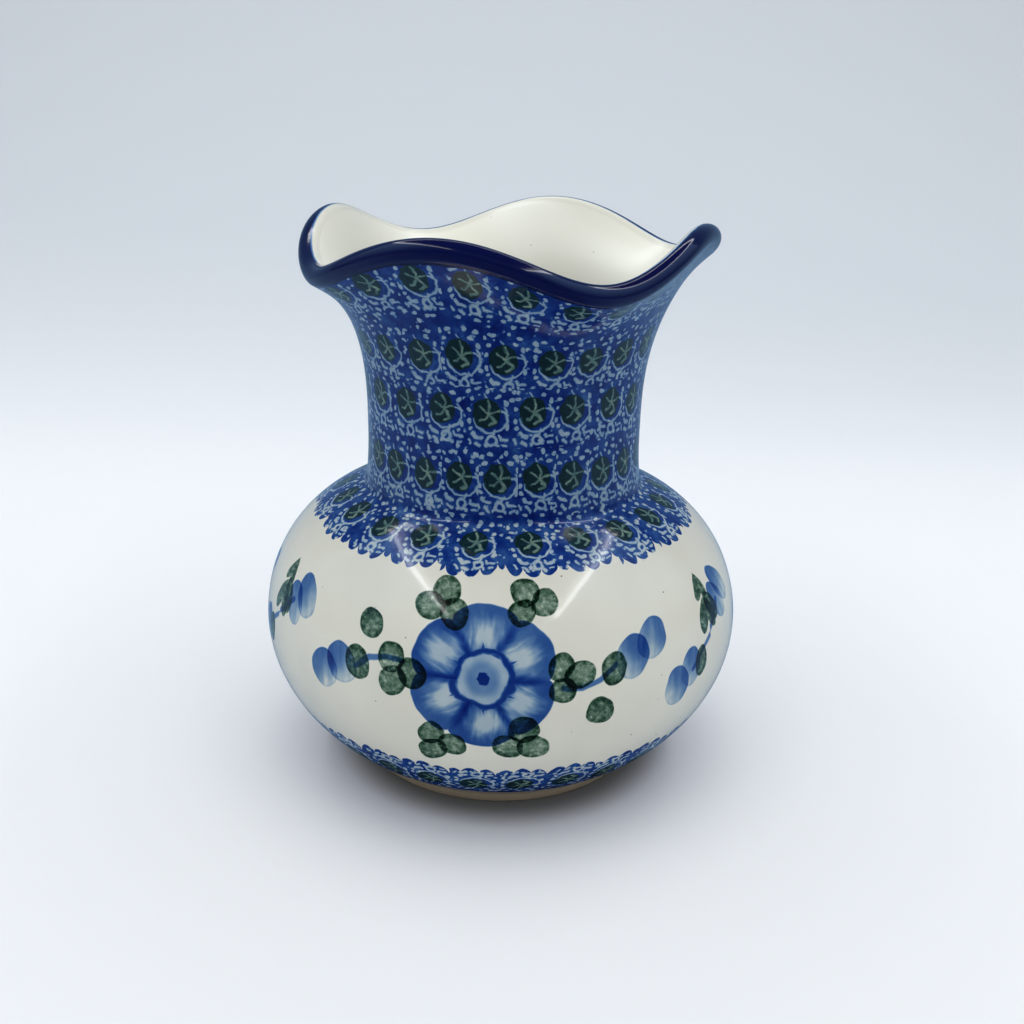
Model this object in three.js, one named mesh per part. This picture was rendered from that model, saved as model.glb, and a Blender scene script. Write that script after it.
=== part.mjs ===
import * as THREE from 'three';

// Pottery vase: a round glazed belly on a turned foot, a drawn-in collar neck
// and a mouth pulled by hand into waves, with a thick rolled lip.
// Millimetres, +Z up. The origin is on the standing surface, on the vase's axis,
// and the front faces -Y.

// Clay wall
const wall = 4.4;
const floorThickness = 5;
const floorFillet = 7;

// Foot ring
const footHeight = 3.3;
const footBottomRadius = 35.9;
const footTopRadius = 37.1;
const footRingWidth = 6.6;
const footEdgeRound = 0.9;

// Belly: two swelling quarters, shoulder and underside, that meet at the widest line.
// A fullness of 2 is an ellipse, and more is squarer.
const bellyRadius = 60;
const equatorHeight = 38;
const shoulderFullness = 3.22;
const undersideFullness = 1.9;

// Neck: it stands on the shoulder at the crease and is narrowest at the waist
const creaseHeight = 71.7;
const waistHeight = 84.3;
const waistRadius = 33.65;
const neckSpread = 0.85;
const rimSeamHeight = 98;

// Mouth: the wall flares from the waist to the middle of the rolled lip
const lipHeight = 130.3;
const lipCentreRadius = 46.9;
const lipRollRadius = 2.6;
const flarePower = 3.1;
const lipSwellStart = 0.75;

// Waves of the mouth, at the lip's middle line; they die away down to the seam
const lobeCount = 4;
const lobeTurn = THREE.MathUtils.degToRad(-17.6);
const lobeLift = 4.6;
const lobeDraw = 0.85;
const crestSoftening = 0.3;
const crestWiden = 0.3;
const wavePower = 2.4;

// Small unevenness that the hand leaves in the pulled mouth
const mouthSkew = 1.2;
const mouthSkewLobes = 3;
const mouthSkewTurn = THREE.MathUtils.degToRad(-23.5);
const mouthLean = 0.6;

// Steps of the faceted surfaces
const turnSteps = 72;
const quarterSteps = 9;
const neckSteps = 4;
const rimSteps = 8;
const lipSteps = 5;
const cornerSteps = 3;

const stoneware = { color: 0xb79a78, roughness: 0.85, metalness: 0 };
const creamGlaze = { color: 0xe4e0d4, roughness: 0.15, metalness: 0 };
const blueGlaze = { color: 0x35509b, roughness: 0.15, metalness: 0 };
const cobaltGlaze = { color: 0x232b5a, roughness: 0.12, metalness: 0 };

function namedMesh(name, geometry, finish) {
  const mesh = new THREE.Mesh(geometry, new THREE.MeshStandardMaterial(finish));
  mesh.name = name;
  return mesh;
}

// Turns a profile of (radius, height) points about +Z.
function turned(profile) {
  return new THREE.LatheGeometry(profile, turnSteps).rotateX(Math.PI / 2);
}

// A quarter of the belly's outline, from the widest line to endRadius at endHeight.
// Its points obey reach ** fullness + rise ** 2 = 1.
function bellyQuarter(endRadius, endHeight, fullness) {
  const endAngle = Math.acos((endRadius / bellyRadius) ** (fullness / 2));
  const points = [];
  for (let step = 0; step <= quarterSteps; step += 1) {
    const angle = (endAngle * step) / quarterSteps;
    const reach = Math.cos(angle) ** (2 / fullness);
    const rise = Math.sin(angle) / Math.sin(endAngle);
    const height = THREE.MathUtils.lerp(equatorHeight, endHeight, rise);
    points.push(new THREE.Vector2(bellyRadius * reach, height));
  }
  return points;
}

// Points of a line moved sideways by a distance, to the left of its direction.
function offsetLeft(points, distance) {
  return points.map((point, index) => {
    const before = points[Math.max(index - 1, 0)];
    const after = points[Math.min(index + 1, points.length - 1)];
    const along = after.clone().sub(before).normalize();
    return new THREE.Vector2(point.x - along.y * distance, point.y + along.x * distance);
  });
}

// A quarter round between two points whose corner is at `corner`, without its ends.
function cornerRound(start, corner, end) {
  const curve = new THREE.QuadraticBezierCurve(start, corner, end);
  return curve.getPoints(cornerSteps).slice(1, -1);
}

// Middle line of the neck's wall: radius at a height, the same all the way round.
function neckMiddleRadius(height) {
  const waistMiddle = waistRadius - wall / 2;
  if (height < waistHeight) {
    const below = (waistHeight - height) / (waistHeight - creaseHeight);
    return waistMiddle + neckSpread * below ** 2;
  }
  const above = (height - waistHeight) / (lipHeight - waistHeight);
  return waistMiddle + (lipCentreRadius - waistMiddle) * above ** flarePower;
}

// Middle line of the rim's wall: rise runs from 0 at the seam to 1 at the lip's middle.
function rimMiddle(angle, rise) {
  const wave = Math.cos(lobeCount * (angle - lobeTurn));
  const doubleWave = Math.cos(2 * lobeCount * (angle - lobeTurn));
  const skew = mouthSkew * Math.cos(mouthSkewLobes * (angle - mouthSkewTurn));
  const strength = rise ** wavePower;
  const evenHeight = rimSeamHeight + (lipHeight - rimSeamHeight) * rise;
  const sideways = skew - lobeDraw * wave - crestWiden * doubleWave;
  const upward = lobeLift * wave - crestSoftening * doubleWave - mouthLean * Math.cos(angle);
  return new THREE.Vector2(
    neckMiddleRadius(evenHeight) + strength * sideways,
    evenHeight + strength * upward,
  );
}

function footRing() {
  const innerRadius = footBottomRadius - footRingWidth;
  const outerCorner = new THREE.Vector2(footBottomRadius, 0);
  const innerCorner = new THREE.Vector2(innerRadius, 0);
  const innerStart = new THREE.Vector2(innerRadius, footEdgeRound);
  const innerEnd = new THREE.Vector2(innerRadius + footEdgeRound, 0);
  const outerStart = new THREE.Vector2(footBottomRadius - footEdgeRound, 0);
  const outerSide = new THREE.Vector2(footTopRadius, footHeight).sub(outerCorner).setLength(footEdgeRound);
  const outerEnd = outerCorner.clone().add(outerSide);
  const profile = [
    innerEnd,
    outerStart,
    ...cornerRound(outerStart, outerCorner, outerEnd),
    outerEnd,
    new THREE.Vector2(footTopRadius, footHeight),
    new THREE.Vector2(innerRadius, footHeight),
    innerStart,
    ...cornerRound(innerStart, innerCorner, innerEnd),
    innerEnd,
  ];
  return namedMesh('foot_ring', turned(profile), stoneware);
}

// The cavity's wall lies one wall's thickness inside the outline, down to the floor.
function belly() {
  const creaseRadius = neckMiddleRadius(creaseHeight) + wall / 2;
  const boreRadius = creaseRadius - wall;
  const floorTop = footHeight + floorThickness;
  const underside = bellyQuarter(footTopRadius, footHeight, undersideFullness);
  const shoulder = bellyQuarter(creaseRadius, creaseHeight, shoulderFullness);
  const outside = [...underside.reverse(), ...shoulder.slice(1)];
  const inside = offsetLeft(outside, wall)
    .filter((point) => point.x > boreRadius && point.y > floorTop + floorFillet / 4)
    .reverse();
  const floorEdge = inside[inside.length - 1];
  const floorCorner = new THREE.Vector2(floorEdge.x - floorFillet / 4, floorTop);
  const floorFlat = new THREE.Vector2(floorEdge.x - floorFillet, floorTop);
  const profile = [
    new THREE.Vector2(0, footHeight),
    ...outside,
    new THREE.Vector2(boreRadius, creaseHeight),
    ...inside,
    ...cornerRound(floorEdge, floorCorner, floorFlat),
    floorFlat,
    new THREE.Vector2(0, floorTop),
  ];
  return namedMesh('belly', turned(profile), creamGlaze);
}

function neck() {
  const outside = [];
  const inside = [];
  for (let step = 0; step <= neckSteps; step += 1) {
    const height = creaseHeight + ((rimSeamHeight - creaseHeight) * step) / neckSteps;
    const middle = neckMiddleRadius(height);
    outside.push(new THREE.Vector2(middle + wall / 2, height));
    inside.unshift(new THREE.Vector2(middle - wall / 2, height));
  }
  return namedMesh('neck', turned([...outside, ...inside, outside[0]]), blueGlaze);
}

// One closed outline of the rim's wall: up the outside, over the lip and down the inside.
function rimSection(angle) {
  const outside = [];
  const inside = [];
  const nudge = 0.001;
  let along = new THREE.Vector2(0, 1);
  for (let step = 0; step <= rimSteps; step += 1) {
    const rise = step / rimSteps;
    const middle = rimMiddle(angle, rise);
    along = step === 0 ? along : middle.clone().sub(rimMiddle(angle, rise - nudge)).normalize();
    const swell = THREE.MathUtils.smoothstep(rise, lipSwellStart, 1);
    const half = THREE.MathUtils.lerp(wall / 2, lipRollRadius, swell);
    const across = new THREE.Vector2(along.y, -along.x).multiplyScalar(half);
    outside.push(middle.clone().add(across));
    inside.unshift(middle.clone().sub(across));
  }
  const centre = rimMiddle(angle, 1);
  const lip = [];
  for (let step = 1; step < lipSteps; step += 1) {
    const turn = Math.PI * (step / lipSteps - 0.5);
    const spoke = along.clone().rotateAround(new THREE.Vector2(), turn).multiplyScalar(lipRollRadius);
    lip.push(centre.clone().add(spoke));
  }
  return [...outside, ...lip, ...inside];
}

// The ruffled rim is lofted: one section at each step round the axis, joined into a closed skin.
function ruffledRim() {
  const positions = [];
  const indices = [];
  let sectionCount = 0;
  for (let turn = 0; turn < turnSteps; turn += 1) {
    const angle = (2 * Math.PI * turn) / turnSteps;
    const section = rimSection(angle);
    sectionCount = section.length;
    for (const point of section) {
      positions.push(point.x * Math.sin(angle), -point.x * Math.cos(angle), point.y);
    }
  }
  for (let turn = 0; turn < turnSteps; turn += 1) {
    const here = turn * sectionCount;
    const there = ((turn + 1) % turnSteps) * sectionCount;
    for (let point = 0; point < sectionCount; point += 1) {
      const next = (point + 1) % sectionCount;
      indices.push(here + point, there + point, here + next);
      indices.push(there + next, here + next, there + point);
    }
  }
  const geometry = new THREE.BufferGeometry();
  geometry.setAttribute('position', new THREE.Float32BufferAttribute(positions, 3));
  geometry.setIndex(indices);
  geometry.computeVertexNormals();
  return namedMesh('ruffled_rim', geometry, cobaltGlaze);
}

const vase = new THREE.Group();
vase.add(footRing(), belly(), neck(), ruffledRim());

export default vase;
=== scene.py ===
import math

import bpy
from mathutils import Matrix, Vector


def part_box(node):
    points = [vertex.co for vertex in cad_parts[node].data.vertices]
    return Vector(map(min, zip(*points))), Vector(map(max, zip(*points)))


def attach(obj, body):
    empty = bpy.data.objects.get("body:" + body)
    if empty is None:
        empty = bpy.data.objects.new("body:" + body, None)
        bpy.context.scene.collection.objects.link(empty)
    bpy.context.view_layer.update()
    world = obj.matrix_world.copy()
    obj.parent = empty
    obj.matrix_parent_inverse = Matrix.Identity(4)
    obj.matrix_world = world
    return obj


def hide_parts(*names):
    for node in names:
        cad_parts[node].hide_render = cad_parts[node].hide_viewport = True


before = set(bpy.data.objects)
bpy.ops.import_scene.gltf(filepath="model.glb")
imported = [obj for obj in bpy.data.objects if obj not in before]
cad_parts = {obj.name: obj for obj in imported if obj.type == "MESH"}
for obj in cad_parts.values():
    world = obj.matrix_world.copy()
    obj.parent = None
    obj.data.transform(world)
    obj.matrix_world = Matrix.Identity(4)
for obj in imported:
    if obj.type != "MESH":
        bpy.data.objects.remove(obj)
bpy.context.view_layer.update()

bl_info = {
    "name": "Ruffled Vase",
    "version": (1, 0, 0),
    "blender": (4, 5, 0),
    "location": "3D View > Sidebar > Vase",
    "description": "Makes a stoneware vase with a ruffled mouth and stamped decoration",
    "category": "Add Mesh",
}

# Lengths are in metres, apart from those of the decoration, which is laid out in
# millimetres: across the wall, and up it from the glaze line along its curve.
MM = 0.001

FOOT_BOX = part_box("foot_ring")
BELLY_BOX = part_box("belly")
NECK_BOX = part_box("neck")
RIM_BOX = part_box("ruffled_rim")


# Sizes, colours and studio settings

def length(name, default, description):
    return bpy.props.FloatProperty(
        name=name, default=default, description=description,
        precision=5, subtype="DISTANCE", unit="LENGTH",
    )


def number(name, default, description):
    return bpy.props.FloatProperty(name=name, default=default, description=description)


def count(name, default, description):
    return bpy.props.IntProperty(name=name, default=default, description=description, min=1)


def angle(name, degrees, description):
    return bpy.props.FloatProperty(
        name=name, default=math.radians(degrees), description=description,
        subtype="ANGLE", unit="ROTATION",
    )


def colour(name, default, description):
    return bpy.props.FloatVectorProperty(
        name=name, default=default, description=description,
        subtype="COLOR", size=3, min=0, max=1,
    )


class VaseShape(bpy.types.PropertyGroup):
    wall: length("Wall", 4.4 * MM, "Thickness of the clay wall")
    floor: length("Floor", 5 * MM, "Thickness of the floor inside the belly")
    floor_fillet: length("Floor Fillet", 7 * MM, "Round between the floor and the wall inside")
    foot_height: length("Foot Height", FOOT_BOX[1].z, "Height of the bare foot ring")
    foot_bottom_radius: length("Foot Bottom Radius", 35.9 * MM, "Outer radius on the table")
    foot_top_radius: length("Foot Top Radius", FOOT_BOX[1].x, "Outer radius at the glaze line")
    foot_ring_width: length("Foot Ring Width", 6.6 * MM, "Width of the foot ring's flat and its rounds")
    foot_edge_round: length("Foot Edge Round", 0.9 * MM, "Round of the foot ring's edges")
    belly_radius: length("Belly Radius", BELLY_BOX[1].x, "Greatest radius of the belly")
    equator_height: length("Equator Height", 38 * MM, "Height of the belly's widest line")
    shoulder_fullness: number("Shoulder Fullness", 3.22, "2 is an ellipse, more is squarer")
    underside_fullness: number("Underside Fullness", 1.9, "2 is an ellipse, more is squarer")
    crease_height: length("Crease Height", NECK_BOX[0].z, "Where the neck stands on the shoulder")
    crease_fillet: length("Crease Fillet", 1.7 * MM, "How far glaze fills the crease each way")
    waist_height: length("Waist Height", 84.3 * MM, "Height of the neck's narrowest line")
    waist_radius: length("Waist Radius", 33.65 * MM, "Outer radius of the neck's waist")
    neck_spread: length("Neck Spread", 0.85 * MM, "How much wider the neck is at the crease")
    seam_height: length("Seam Height", RIM_BOX[0].z, "Where the pulled mouth begins")
    lip_height: length("Lip Height", 130.14 * MM, "Mean height of the lip's middle line")
    lip_centre_radius: length("Lip Centre Radius", 46.9 * MM, "Mean radius of the lip's middle line")
    lip_roll_radius: length("Lip Roll Radius", 2.6 * MM, "Radius of the rolled lip")
    lip_swell_start: number("Lip Swell Start", 0.75, "Share of the rim's height at which the lip swells")
    flare_power: number("Flare Power", 3.1, "How late the wall flares out above the waist")


class MouthWaves(bpy.types.PropertyGroup):
    waves: count("Waves", 4, "Waves round the mouth")
    turn: angle("Turn", -17.6, "Angle of a crest from the front")
    lift: length("Lift", 4.6 * MM, "Height of a crest above the mean")
    draw: length("Draw", 0.85 * MM, "How far a crest is drawn in")
    crest_softening: length("Crest Softening", 0.3 * MM, "How much a crest is flattened")
    crest_widening: length("Crest Widening", 0.3 * MM, "How much a crest is pinched in")
    power: number("Power", 2.4, "How late the waves grow above the seam")
    skew: length("Skew", 1.2 * MM, "Unevenness of the mouth's outline")
    skew_waves: count("Skew Waves", 3, "Waves of the unevenness")
    skew_turn: angle("Skew Turn", -23.5, "Angle of the unevenness from the front")
    lean: length("Lean", 0.6 * MM, "How far the mouth leans down at the front")
    hand: length("Hand", 0.12 * MM, "How far the thrown wall wavers inwards")


class VaseColours(bpy.types.PropertyGroup):
    cream: colour("Cream Glaze", (0.75, 0.742, 0.65), "Clear glaze over the pale body")
    blue: colour("Blue Ink", (0.0183, 0.0781, 0.379), "What one print of blue lets through")
    green: colour("Green Ink", (0.051, 0.115, 0.084), "What one print of green lets through")
    cobalt: colour("Cobalt", (0.003, 0.006, 0.075), "What the cobalt of the lip lets through")
    clay: colour("Bare Clay", (0.5, 0.4, 0.28), "Fired stoneware without glaze")
    iron: colour("Iron Speck", (0.09, 0.06, 0.03), "Specks of iron in the body")


class VaseStudio(bpy.types.PropertyGroup):
    paper: colour("Paper", (0.85, 0.865, 0.89), "Floor and backdrop")
    # Painted shade: the paper's colour where it rises away from the light
    shaded_paper: colour("Shaded Paper", (0.625, 0.665, 0.71), "Backdrop where it falls off")
    sky: colour("Sky", (0.95, 0.975, 1.0), "Light from all round")
    sky_low: number("Sky Low", 0.1, "Strength of the sky at the horizon")
    sky_high: number("Sky High", 1.2, "Strength of the sky straight above")
    strip_strength: number("Strip Strength", 5.5, "Brightness of the lamp strips")
    strip_gloss: number("Strip Gloss", 12.0, "Brightness that the strips have more in reflections")
    strip_tint: colour("Strip Tint", (0.8, 0.9, 1.0), "Colour of that brightness")
    card_grey: number("Card Grey", 0.02, "Brightness of the overhead card in reflections")
    mirror_tint: colour("Mirror Tint", (0.42, 0.68, 1.0), "Colour that the walls give to reflections")
    front_sky: number("Front Sky", 0.2, "How much of the sky in front reflections show")
    side_sky: number("Side Sky", 1.0, "How much of the sky beside and behind reflections show")
    front_paper: number("Front Paper", 0.1, "How much of the paper in front reflections show")
    side_paper: number("Side Paper", 0.5, "How much of the paper beside and behind reflections show")


# Arithmetic in node trees

def plug(tree, value, socket):
    """Links a value of a node tree to a socket, or sets the socket to a plain value."""
    if isinstance(value, Value):
        tree.links.new(value.socket, socket)
    elif isinstance(value, bpy.types.NodeSocket):
        tree.links.new(value, socket)
    else:
        socket.default_value = value


def add_node(tree, kind, inputs=(), **settings):
    """Adds a node with its settings, and plugs values into its inputs by index or name."""
    node = tree.nodes.new(kind)
    for name, value in settings.items():
        setattr(node, name, value)
    pairs = inputs.items() if isinstance(inputs, dict) else enumerate(inputs)
    for key, value in pairs:
        plug(tree, value, node.inputs[key])
    return node


def arithmetic(operation):
    """A method of Value that puts its number, and any others, through a Math node."""
    return lambda self, *others: self.math(operation, self, *others)


class Value:
    """A number that a node tree works out. Arithmetic on it adds Math nodes."""

    def __init__(self, tree, socket):
        self.tree = tree
        self.socket = socket

    def math(self, operation, *terms):
        node = add_node(self.tree, "ShaderNodeMath", operation=operation)
        for socket, term in zip(node.inputs, terms):
            plug(self.tree, term, socket)
        return Value(self.tree, node.outputs[0])

    __add__ = __radd__ = arithmetic("ADD")
    __sub__ = arithmetic("SUBTRACT")
    __mul__ = __rmul__ = arithmetic("MULTIPLY")
    __truediv__ = arithmetic("DIVIDE")
    __pow__ = arithmetic("POWER")
    __mod__ = arithmetic("FLOORED_MODULO")
    __abs__ = arithmetic("ABSOLUTE")
    cos = arithmetic("COSINE")
    sin = arithmetic("SINE")
    floor = arithmetic("FLOOR")
    round = arithmetic("ROUND")
    sign = arithmetic("SIGN")
    above = arithmetic("GREATER_THAN")

    def __rsub__(self, other):
        return self.math("SUBTRACT", other, self)

    def vector(self, operation, *terms):
        """Adds a Vector Math node, whose result is a number for these operations and else a vector."""
        node = add_node(self.tree, "ShaderNodeVectorMath", [self, *terms], operation=operation)
        is_number = operation in ("DOT_PRODUCT", "LENGTH", "DISTANCE")
        return Value(self.tree, node.outputs[1 if is_number else 0])

    def scaled(self, vector):
        """A vector scaled by this number."""
        node = add_node(self.tree, "ShaderNodeVectorMath", [vector], operation="SCALE")
        plug(self.tree, self, node.inputs["Scale"])
        return Value(self.tree, node.outputs[0])

    def clamped(self):
        above = self.math("MAXIMUM", self, 0.0)
        return above.math("MINIMUM", above, 1.0)

    def ramp(self, start, end):
        """Rises smoothly from 0 at start to 1 at end. Start may be the larger."""
        node = add_node(self.tree, "ShaderNodeMapRange", interpolation_type="SMOOTHSTEP", clamp=False)
        for name, value in (("Value", self), ("From Min", start), ("From Max", end)):
            plug(self.tree, value, node.inputs[name])
        return Value(self.tree, node.outputs[0])

    def inside(self, edge, softness):
        """1 below an edge, 0 above it, with a soft step across it."""
        return self.ramp(edge + softness / 2, edge - softness / 2)


def combined(tree, x, y, z=0.0):
    node = add_node(tree, "ShaderNodeCombineXYZ", [x, y, z])
    return Value(tree, node.outputs[0])


def xyz(tree, vector):
    """The three parts of a vector."""
    return [Value(tree, socket) for socket in add_node(tree, "ShaderNodeSeparateXYZ", [vector]).outputs]


def rgb(tree, shown):
    """The three parts of a colour."""
    return [Value(tree, socket) for socket in add_node(tree, "ShaderNodeSeparateColor", [shown]).outputs]


def opaque(rgb_values, strength=1.0):
    """A colour for a socket, made lighter or darker by a strength."""
    return (*(part * strength for part in rgb_values), 1)


def mixed(tree, share, first, second):
    """The first colour where the share is 0, and the second where it is 1."""
    node = add_node(tree, "ShaderNodeMix", {"Factor": share, 6: first, 7: second}, data_type="RGBA")
    return node.outputs[2]


def bumped(tree, shader, strength, height):
    """Gives a shader the bumps of a height in millimetres."""
    bump = add_node(tree, "ShaderNodeBump", {"Strength": strength, "Distance": MM, "Height": height})
    plug(tree, bump.outputs[0], shader.inputs["Normal"])


def hypotenuse(a, b):
    return (a * a + b * b) ** 0.5


def arc_tangent(a, b):
    return a.math("ARCTAN2", a, b)


def most(*values):
    """The largest of several numbers."""
    largest = values[0]
    for value in values[1:]:
        largest = largest.math("MAXIMUM", largest, value)
    return largest


def without(value, mask):
    """The value where the mask is 0, and nothing where it is 1."""
    return value * (1 - mask)


class Spot:
    """A place on the wall, in millimetres across and up, that marks are drawn round."""

    def __init__(self, place):
        self.place = place

    def ellipse(self, centre, radii):
        """Distance from a centre in shares of an ellipse's radii: 1 on its outline."""
        scale = (1 / radii[0], 1 / radii[1], 0)
        shift = (-centre[0] / radii[0], -centre[1] / radii[1], 0)
        return self.place.vector("MULTIPLY_ADD", scale, shift).vector("LENGTH")

    def ring(self, centre, radius, width, softness=0.45):
        gap = abs(self.place.vector("DISTANCE", (*centre, 0)) - radius)
        return gap.inside(width / 2, softness)

    def lines(self, lines, softness=0.45):
        """Brush lines with round ends, each a width and the points that it runs through."""
        found = 0.0
        for width, *points in lines:
            for start, end in zip(points, points[1:]):
                along = (end[0] - start[0], end[1] - start[1], 0)
                square = along[0] ** 2 + along[1] ** 2
                from_start = self.place.vector("SUBTRACT", (*start, 0))
                per_square = [part / square for part in along]
                share = from_start.vector("DOT_PRODUCT", per_square).clamped()
                to_line = from_start.vector("SUBTRACT", share.scaled(along))
                found = most(to_line.vector("LENGTH").inside(width / 2, softness), found)
        return found

    def discs(self, discs, softness=0.12):
        """Ovals, each a centre and its radii."""
        found = 0.0
        for centre, radii in discs:
            found = most(self.ellipse(centre, radii).inside(1.0, softness), found)
        return found

    def moved(self, across, up):
        return Spot(self.place.vector("SUBTRACT", combined(self.place.tree, across, up)))

    def wobbled(self, place, amount, scale, detail=1.5):
        """The spot pushed about by noise at a place on the vase, as a sponge's soft edge is."""
        tree = self.place.tree
        node = add_node(tree, "ShaderNodeTexNoise", {"Vector": place, "Scale": scale, "Detail": detail})
        push = combined(tree, *rgb(tree, node.outputs["Color"])[:2])
        pushed = push.vector("MULTIPLY_ADD", (amount, amount, 0), self.place)
        return Spot(pushed.vector("SUBTRACT", (amount / 2, amount / 2, 0)))

    def parts(self):
        """Millimetres across and up."""
        return xyz(self.place.tree, self.place)[:2]


def new_group(name, kind, inputs, outputs):
    """Makes a node group with named sockets. Returns it, its inputs as values and its output node."""
    tree = bpy.data.node_groups.new(name, kind)
    for label, socket_type in inputs:
        tree.interface.new_socket(label, in_out="INPUT", socket_type=socket_type)
    for label, socket_type in outputs:
        tree.interface.new_socket(label, in_out="OUTPUT", socket_type=socket_type)
    source = tree.nodes.new("NodeGroupInput")
    given = {label: Value(tree, source.outputs[label]) for label, _ in inputs}
    return tree, given, tree.nodes.new("NodeGroupOutput")


def socket_label(name):
    return name.replace("_", " ").title()


def put_out(tree, result, **outputs):
    """Plugs values into a node group's output node, by their names."""
    for name, value in outputs.items():
        plug(tree, value, result.inputs[socket_label(name)])


def place_group(tree, group, **inputs):
    """Places a node group, plugs its inputs and returns its outputs by name."""
    node = tree.nodes.new(tree.bl_idname.replace("NodeTree", "NodeGroup"))
    node.node_tree = group
    for name, value in inputs.items():
        plug(tree, value, node.inputs[socket_label(name)])
    return {socket.name: Value(tree, socket) for socket in node.outputs}


def made_once(name, make):
    """A node group by its name, made the first time that it is asked for."""
    return bpy.data.node_groups.get(name) or make()


FLOAT = "NodeSocketFloat"
INTEGER = "NodeSocketInt"
VECTOR = "NodeSocketVector"
COLOUR = "NodeSocketColor"
GEOMETRY = "NodeSocketGeometry"
MATERIAL = "NodeSocketMaterial"


# Outlines of the thrown wall

class Outline:
    """A closed outline of (radius, height) points, and how far each is up the rim's waves."""

    def __init__(self, points):
        self.points = list(points)
        self.rises = [0.0] * len(points)

    def add(self, points, rises=None):
        self.points += points
        self.rises += rises or [0.0] * len(points)

    def line_to(self, end, steps):
        start = self.points[-1]
        self.add([start.lerp(end, step / steps) for step in range(1, steps + 1)])

    def bend_to(self, corner, end, steps):
        self.add(bend(self.points[-1], corner, end, steps)[1:])

    def lengths(self):
        """Length along the outline up to each point, in millimetres."""
        total, found = 0.0, [0.0]
        for before, after in zip(self.points, self.points[1:]):
            total += (after - before).length / MM
            found.append(total)
        return found


def point(radius, height):
    return Vector((radius, height))


def bend(start, corner, end, steps):
    """A curve from start to end that bends at a corner, both ends included."""
    found = []
    for step in range(steps + 1):
        share = step / steps
        found.append(start.lerp(corner, share).lerp(corner.lerp(end, share), share))
    return found


def belly_quarter(shape, end_radius, end_height, fullness, steps=64):
    """The belly's outline from its widest line to its end: reach ** fullness + rise ** 2 = 1."""
    end_angle = math.acos((end_radius / shape.belly_radius) ** (fullness / 2))
    found = []
    for step in range(steps + 1):
        turn = end_angle * step / steps
        reach = math.cos(turn) ** (2 / fullness)
        rise = math.sin(turn) / math.sin(end_angle)
        height = shape.equator_height + (end_height - shape.equator_height) * rise
        found.append(point(shape.belly_radius * reach, height))
    return found


def neck_middle(shape, height):
    """Middle line of the neck's wall: its radius at a height."""
    waist = shape.waist_radius - shape.wall / 2
    if height < shape.waist_height:
        below = (shape.waist_height - height) / (shape.waist_height - shape.crease_height)
        return waist + shape.neck_spread * below ** 2
    above = (height - shape.waist_height) / (shape.lip_height - shape.waist_height)
    return waist + (shape.lip_centre_radius - waist) * above ** shape.flare_power


def offset_left(points, distance):
    """The line moved sideways by a distance, to the left of its direction."""
    found = []
    for index, here in enumerate(points):
        before = points[max(index - 1, 0)]
        after = points[min(index + 1, len(points) - 1)]
        along = (after - before).normalized()
        found.append(here + point(-along.y, along.x) * distance)
    return found


def crease(shape):
    """The glaze's fillet in the crease: its start on the shoulder, its corner and its end on the neck."""
    corner = point(neck_middle(shape, shape.crease_height) + shape.wall / 2, shape.crease_height)
    shoulder = belly_quarter(shape, corner.x, corner.y, shape.shoulder_fullness)
    start = min(shoulder, key=lambda p: abs((p - corner).length - shape.crease_fillet))
    end_height = shape.crease_height + shape.crease_fillet
    end = point(neck_middle(shape, end_height) + shape.wall / 2, end_height)
    return start, corner, end


CREASE_STEPS = 12
HALF_CREASE = CREASE_STEPS // 2


def foot_outline(shape):
    inner = shape.foot_bottom_radius - shape.foot_ring_width
    bevel = shape.foot_edge_round
    outer_corner = point(shape.foot_bottom_radius, 0)
    top = point(shape.foot_top_radius, shape.foot_height)
    side = outer_corner + (top - outer_corner).normalized() * bevel
    outline = Outline([point(inner + bevel, 0)])
    outline.line_to(outer_corner - point(bevel, 0), steps=6)
    outline.bend_to(outer_corner, side, steps=8)
    outline.line_to(top, steps=8)
    outline.line_to(point(inner, shape.foot_height), steps=6)
    outline.line_to(point(inner, bevel), steps=6)
    outline.bend_to(point(inner, 0), outline.points[0], steps=8)
    return outline, 0.0


def belly_outline(shape):
    """From the middle of the underside, up the outside to the crease and down the inside to the floor."""
    start, corner, end = crease(shape)
    underside = belly_quarter(
        shape, shape.foot_top_radius, shape.foot_height, shape.underside_fullness)
    shoulder = belly_quarter(shape, corner.x, corner.y, shape.shoulder_fullness)
    outside = underside[::-1] + shoulder[1:]
    bore = corner.x - shape.wall
    fillet = bend(start, corner, end, CREASE_STEPS)
    floor_top = shape.foot_height + shape.floor
    fillet_depth = shape.floor_fillet / 4
    inside = [p for p in offset_left(outside, shape.wall)
              if p.x > bore + shape.crease_fillet and p.y > floor_top + fillet_depth][::-1]
    rim_top = fillet[HALF_CREASE].y
    floor_edge = inside[-1]
    floor_flat = point(floor_edge.x - shape.floor_fillet, floor_top)
    floor_corner = point(floor_edge.x - fillet_depth, floor_top)
    outline = Outline([point(0, shape.foot_height)])
    outline.line_to(outside[0], steps=12)
    glaze_line = len(outline.points) - 1
    outline.add([p for p in outside[1:] if p.y < start.y or p.x > start.x])
    outline.add(fillet[:HALF_CREASE + 1])
    outline.line_to(point(bore, rim_top), steps=4)
    outline.bend_to(point(bore, inside[0].y), inside[0], steps=8)
    outline.add(inside[1:])
    outline.bend_to(floor_corner, floor_flat, steps=10)
    outline.line_to(point(0, floor_top), steps=10)
    return outline, outline.lengths()[glaze_line]


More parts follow.
